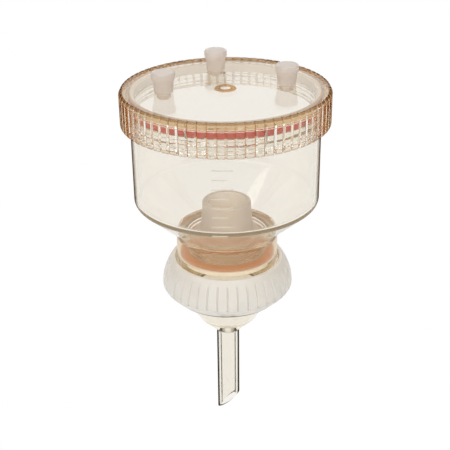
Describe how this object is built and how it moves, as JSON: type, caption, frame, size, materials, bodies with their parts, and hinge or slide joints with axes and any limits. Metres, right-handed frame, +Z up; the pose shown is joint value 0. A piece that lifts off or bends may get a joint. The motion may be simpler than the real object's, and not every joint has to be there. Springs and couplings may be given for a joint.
{
  "type": "vacuum filtration unit",
  "caption": "Clear amber filter funnel with a ribbed screw lid, silicone port plugs, a ribbed locking nut and a stemmed base for a vacuum flask.",
  "frame": {"origin": "on the axis of revolution, where the outlet stem meets the base's cone", "axes": "+Z up along the axis from the outlet stem to the lid; +X to the right and -Y to the front, where the graduation lines are"},
  "size_m": [0.098, 0.098, 0.1888],
  "materials": {
    "amber_plastic": "clear amber polysulfone, moulded, polished",
    "white_plastic": "milky white polypropylene, moulded, satin",
    "clear_silicone": "translucent milky silicone, moulded",
    "red_silicone": "red-orange silicone, moulded",
    "membrane": "white cellulose membrane, matt"
  },
  "bodies": {
    "base": {"base": "amber_plastic", "filter_support": "white_plastic", "membrane_filter": "membrane", "base_seal": "red_silicone", "stopper": "clear_silicone"},
    "funnel": {"funnel": "amber_plastic", "neck_gasket": "red_silicone"},
    "locking_nut": {"locking_nut": "white_plastic"},
    "lid_gasket": {"lid_gasket": "red_silicone"},
    "lid": {"lid": "amber_plastic"},
    "plug_right": {"port_plug_right": "clear_silicone"},
    "plug_back": {"port_plug_back": "clear_silicone"},
    "plug_left": {"port_plug_left": "clear_silicone"}
  },
  "joints": [
    {"name": "funnel_lift", "type": "slide", "parent": "base", "child": "funnel", "axis": [0, 0, 1], "range_m": [0, 0.01]},
    {"name": "nut_turn", "type": "hinge", "parent": "base", "child": "locking_nut", "pos_m": [0, 0, 0.0327], "axis": [0, 0, -1], "range_deg": [0, 900.2]},
    {"name": "lid_lift", "type": "slide", "parent": "funnel", "child": "lid_gasket", "axis": [0, 0, 1], "range_m": [0, 0.008]},
    {"name": "lid_turn", "type": "hinge", "parent": "lid_gasket", "child": "lid", "pos_m": [0, 0, 0.122], "axis": [0, 0, 1], "range_deg": [0, 720.2]},
    {"name": "plug_right_pull", "type": "slide", "parent": "lid", "child": "plug_right", "axis": [0, 0, 1], "range_m": [0, 0.012]},
    {"name": "plug_back_pull", "type": "slide", "parent": "lid", "child": "plug_back", "axis": [0, 0, 1], "range_m": [0, 0.012]},
    {"name": "plug_left_pull", "type": "slide", "parent": "lid", "child": "plug_left", "axis": [0, 0, 1], "range_m": [0, 0.012]}
  ],
  "couplings": [
    {"joint": "nut_turn", "follows": "funnel_lift", "rad_per_m": 1570.8},
    {"joint": "lid_turn", "follows": "lid_lift", "rad_per_m": 1570.8}
  ]
}
